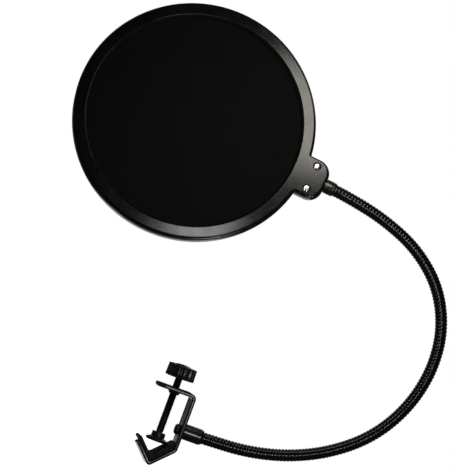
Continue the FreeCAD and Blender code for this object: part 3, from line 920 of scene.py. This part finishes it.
def make_foot():
    z, top = 8.6 * MM, HUB_TOP_Z
    corners = [(0, z, 0), (6.4 * MM, z, 0.3 * MM), (7.3 * MM, 9.35 * MM, 0.3 * MM),
               (7.3 * MM, 10.1 * MM, 0.3 * MM), (4.4 * MM, 11.5 * MM, 0.5 * MM), (4.4 * MM, top, 0.5 * MM),
               (2.2 * MM, top, 0.15 * MM), (2.2 * MM, top - 0.3 * MM, 0), (2.8 * MM, top - 0.3 * MM, 0),
               (2.8 * MM, 11.9 * MM, 0), (2.0 * MM, 10.0 * MM, 0), (0, 9.2 * MM, 0)]
    foot = on_screw(lathe("swivel_foot_disc", rounded(corners, 4), 96))
    finish_piece(foot, "blackened_steel", "foot", "swivel_foot")
    low, high = BALL_Z + 1.96 * MM, BALL_Z + 2.19 * MM
    washer = on_screw(lathe("retaining_washer_ring", rounded([
        (1.66 * MM, low, 0.05 * MM), (2.5 * MM, low, 0.05 * MM),
        (2.5 * MM, high, 0.05 * MM), (1.66 * MM, high, 0.05 * MM)], 2), 48))
    finish_piece(washer, "plain_steel", "screw_carrier", "foot_retaining_washer")


def make_neck_joint():
    head_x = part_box("neck_bolt")[0].x
    profile = rounded([(0, 0, 0), (2.6 * MM, 0, 0.5 * MM), (3.4 * MM, 0.9 * MM, 0.6 * MM), (3.4 * MM, 2.0 * MM, 0),
                       (2.0 * MM, 2.0 * MM, 0), (2.0 * MM, 9.3 * MM, 0), (0, 9.3 * MM, 0)], 4)
    bolt = lathe("neck_bolt_pan", profile, 64)
    for angle in (0.35, 0.35 + math.pi / 2):
        blade = cross_blade(1.7 * MM, 0.4 * MM, -1.2 * MM, 1.1 * MM)
        blade.data.transform(Matrix.Rotation(math.pi, 4, "X") @ Matrix.Rotation(angle, 4, "Z"))
        boolean(bolt, blade)
    place(bolt, (head_x, 0, NECK_Z), (0, 0, 1), (1, 0, 0))
    smooth(bolt, 35)
    finish_piece(bolt, "blackened_steel", "neck_root", "neck_bolt")

    washer_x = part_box("neck_spring_washer")[0].x
    washer = lathe("spring_washer_ring", rounded([
        (2.15 * MM, 0.02 * MM, 0.12 * MM), (3.4 * MM, 0.02 * MM, 0.12 * MM),
        (3.4 * MM, 0.72 * MM, 0.12 * MM), (2.15 * MM, 0.72 * MM, 0.12 * MM)], 2), 64)
    place(washer, (washer_x, 0, NECK_Z), (0, 0, 1), (1, 0, 0))
    finish_piece(washer, "blackened_steel", "neck_root", "neck_spring_washer")

    low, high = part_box("lower_ferrule")
    length = high.x - low.x
    corners = [(2.02 * MM, 0.02 * MM, 0), (4.85 * MM, 0.02 * MM, 0.3 * MM), (5.1 * MM, 0.6 * MM, 0.3 * MM),
               (5.1 * MM, length - 1.6 * MM, 0.5 * MM), (4.6 * MM, length, 0.25 * MM),
               (4.03 * MM, length, 0.1 * MM), (4.03 * MM, 5.0 * MM, 0), (2.02 * MM, 5.0 * MM, 0)]
    ferrule = lathe("lower_sleeve", rounded(corners, 4), 96)
    place(ferrule, (low.x, 0, NECK_Z), (0, 0, 1), (1, 0, 0))
    finish_piece(ferrule, "ferrule_metal", "neck_root", "lower_ferrule")


def paint_cad_nodes():
    """The hidden steel anchor keeps its CAD shape and gets a finish."""
    anchor = frame["nodes"]["neck_anchor"]
    anchor.data.materials.clear()
    anchor.data.materials.append(LOOKS["plain_steel"])


# ---------------------------------------------------------------- camera, light and stage
def make_camera():
    """A long lens level with the clamp, rolled over. Returns its view, right and up directions."""
    aim = Vector((-0.00056, 0, 0.1466))
    distance, azimuth, roll = 2.4, math.radians(-9.2), math.radians(20.3)
    view = Vector((-math.sin(azimuth), math.cos(azimuth), 0))
    data = bpy.data.cameras.new("camera")
    data.sensor_fit = "VERTICAL"
    data.sensor_height = 24.0
    data.lens = 192.2
    data.clip_start = 0.01
    camera = bpy.data.objects.new("camera", data)
    bpy.context.scene.collection.objects.link(camera)
    level, up = view.cross(Vector((0, 0, 1))), Vector((0, 0, 1))
    image_right = level * math.cos(roll) + up * math.sin(roll)
    image_up = up * math.cos(roll) - level * math.sin(roll)
    matrix = Matrix((image_right, image_up, -view)).transposed().to_4x4()
    matrix.translation = aim - view * distance
    camera.matrix_world = matrix
    bpy.context.scene.camera = camera
    return view, image_right, image_up


def area_light(name, position, target, width, height, watts, colour=(1, 1, 1), spread_deg=180):
    data = bpy.data.lights.new(name, "AREA")
    data.shape = "RECTANGLE"
    data.size, data.size_y = width, height
    data.energy = watts
    data.color = colour
    data.spread = math.radians(spread_deg)
    light = bpy.data.objects.new(name, data)
    light.location = position
    direction = Vector(target) - Vector(position)
    light.rotation_euler = direction.to_track_quat("-Z", "Y").to_euler()
    light.visible_camera = False
    bpy.context.scene.collection.objects.link(light)


def face_light(name, centre, normal, view, side, reach, size, watts, colour):
    """A small soft box that the hoop's flat face mirrors to the viewer on one side of the hoop."""
    out = (side - normal * side.dot(normal)).normalized()
    spot = centre + normal * FACE_H + out * (OPENING_R + HOOP_R) / 2
    mirrored = normal * (-2 * view.dot(normal)) + view
    area_light(name, spot + mirrored * reach, spot, size, size, watts, colour)


def make_world():
    """White where the camera sees it, and dim as a light."""
    world = bpy.data.worlds.new("studio")
    bpy.context.scene.world = world
    world.use_nodes = True
    tree = world.node_tree
    tree.nodes.clear()
    out = tree.nodes.new("ShaderNodeOutputWorld")
    seen, dim = tree.nodes.new("ShaderNodeBackground"), tree.nodes.new("ShaderNodeBackground")
    seen.inputs["Color"].default_value = (1, 1, 1, 1)
    dim.inputs["Color"].default_value = (1, 1, 1, 1)
    dim.inputs["Strength"].default_value = WORLD_DIM
    mix, path = tree.nodes.new("ShaderNodeMixShader"), tree.nodes.new("ShaderNodeLightPath")
    tree.links.new(path.outputs["Is Camera Ray"], mix.inputs["Fac"])
    tree.links.new(dim.outputs["Background"], mix.inputs[1])
    tree.links.new(seen.outputs["Background"], mix.inputs[2])
    tree.links.new(mix.outputs["Shader"], out.inputs["Surface"])


def make_floor():
    """A pale floor that throws little light back up."""
    bpy.ops.mesh.primitive_plane_add(size=8, location=(0, 0, -0.22))
    floor = bpy.context.object
    floor.name = "studio_floor"
    look = Look("studio_floor_white")
    look.set(Base_Color=(0.02, 0.02, 0.02, 1), Roughness=0.9, Emission_Color=(1.0, 0.97, 0.9, 1))
    mix, path = look.node("ShaderNodeMix"), look.node("ShaderNodeLightPath")
    look.link(path.outputs["Is Camera Ray"], mix.inputs["Factor"])
    mix.inputs["A"].default_value = FLOOR_GLOW
    mix.inputs["B"].default_value = 1.3
    look.link(mix.outputs["Result"], look.shader.inputs["Emission Strength"])
    floor.data.materials.append(look.material)


def make_lights(centre, normal, view, image_right, image_up):
    bpy.context.scene.view_settings.view_transform = "Standard"
    raised = image_right * math.cos(FACE_LIGHT_TURN) + image_up * math.sin(FACE_LIGHT_TURN)
    face_light("face_right", centre, normal, view, raised, 0.14, 0.066, 0.088, (1.0, 0.96, 0.86))
    face_light("face_low", centre, normal, view, -image_up, 0.14, 0.042, 0.036, (0.97, 0.99, 1.0))
    clamp = Vector((0.004, 0, 0.03))
    area_light("front", clamp + Vector((0.19, -1.18, 0.02)), clamp, 0.15, 0.15, 1.6)
    middle = Vector((0, 0, 0.147))
    for name, away, size, watts in (
            ("above", (0, 0.45, 1.1), 0.7, 0.35), ("side_right", (1.15, 0.45, 0), 0.7, 0.25),
            ("side_left", (-1.15, 0.6, 0.1), 0.7, 0.2), ("back_low", (0.05, 0.48, -0.34), 0.42, 0.55),
            ("back_right", (0.6, 1.1, 0.65), 0.6, 1.3), ("back_left", (-0.6, 1.1, 0.65), 0.6, 0.9)):
        area_light(name, middle + Vector(away), middle, size, size, watts)
    area_light("behind_left", clamp + Vector((-0.35, 0.95, 0.05)), clamp, 0.3, 0.3, 0.035)


directions = make_camera()
screen_centre, screen_normal = make_head()
make_neck(screen_centre)
make_bracket()
make_pad()
make_screw()
make_knob()
make_foot()
make_neck_joint()
paint_cad_nodes()
make_world()
make_floor()
make_lights(screen_centre, screen_normal, *directions)
